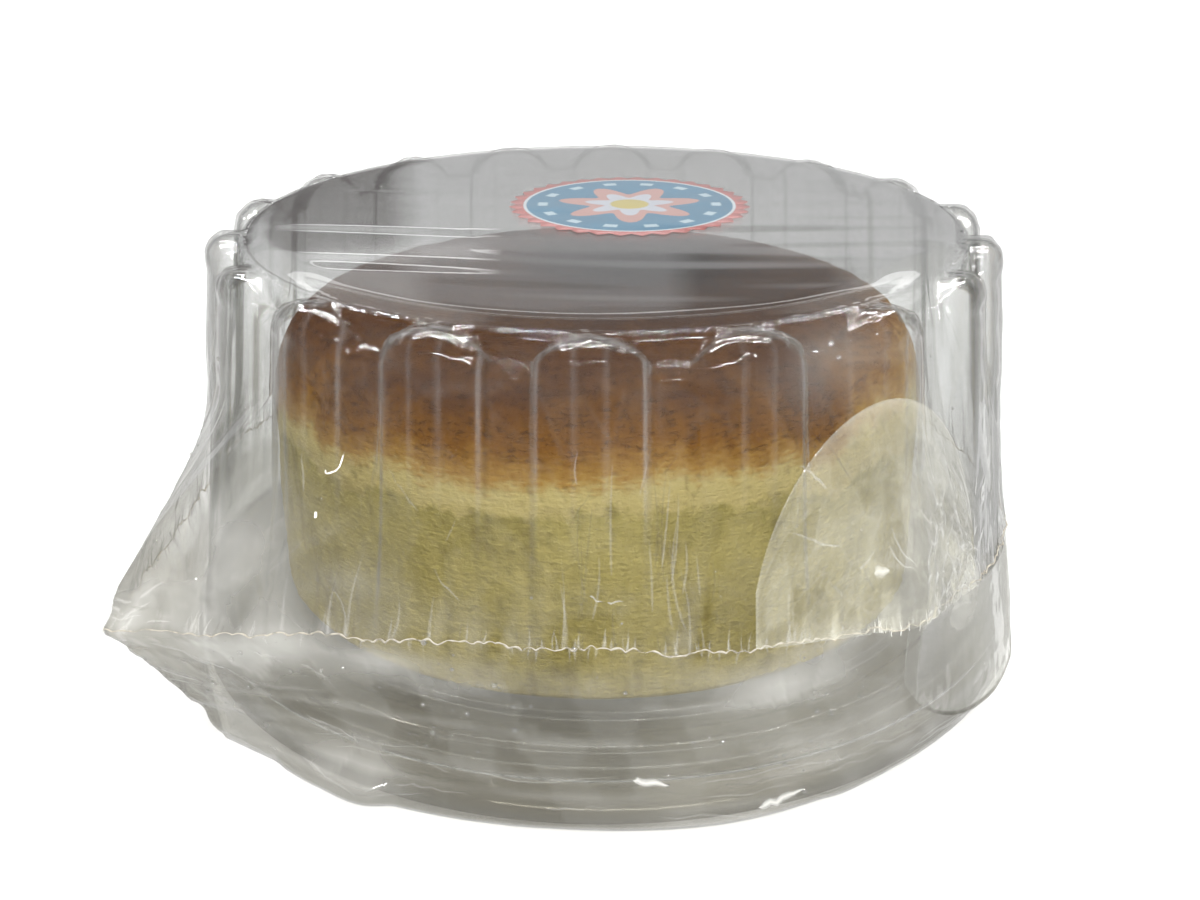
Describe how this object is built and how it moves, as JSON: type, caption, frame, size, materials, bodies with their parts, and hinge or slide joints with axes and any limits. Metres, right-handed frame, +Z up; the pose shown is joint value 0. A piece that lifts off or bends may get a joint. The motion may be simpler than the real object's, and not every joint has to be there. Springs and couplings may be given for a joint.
{
  "type": "packed japanese cheesecake",
  "caption": "Round souffle cheesecake with browned top and pale torn side on a clear base under a fluted clear dome, sealed in loose clear film with a round label.",
  "frame": {"origin": "under the centre of the pack, on the surface it stands on", "axes": "+Z up, -Y towards the front where the seal crosses the wall, +X to the right seen from the front"},
  "size_m": [0.2368, 0.2368, 0.114],
  "materials": {
    "baked_cake": "soft baked crumb, browned on top",
    "clear_tray": "clear thermoformed sheet",
    "clear_dome": "clear thermoformed sheet",
    "printed_label": "satin print",
    "clear_film": "thin glossy film"
  },
  "bodies": {
    "root": {"cake": "baked_cake", "base_tray": "clear_tray", "dome_lid": "clear_dome", "label": "printed_label", "film_wrap": "clear_film"}
  },
  "joints": []
}
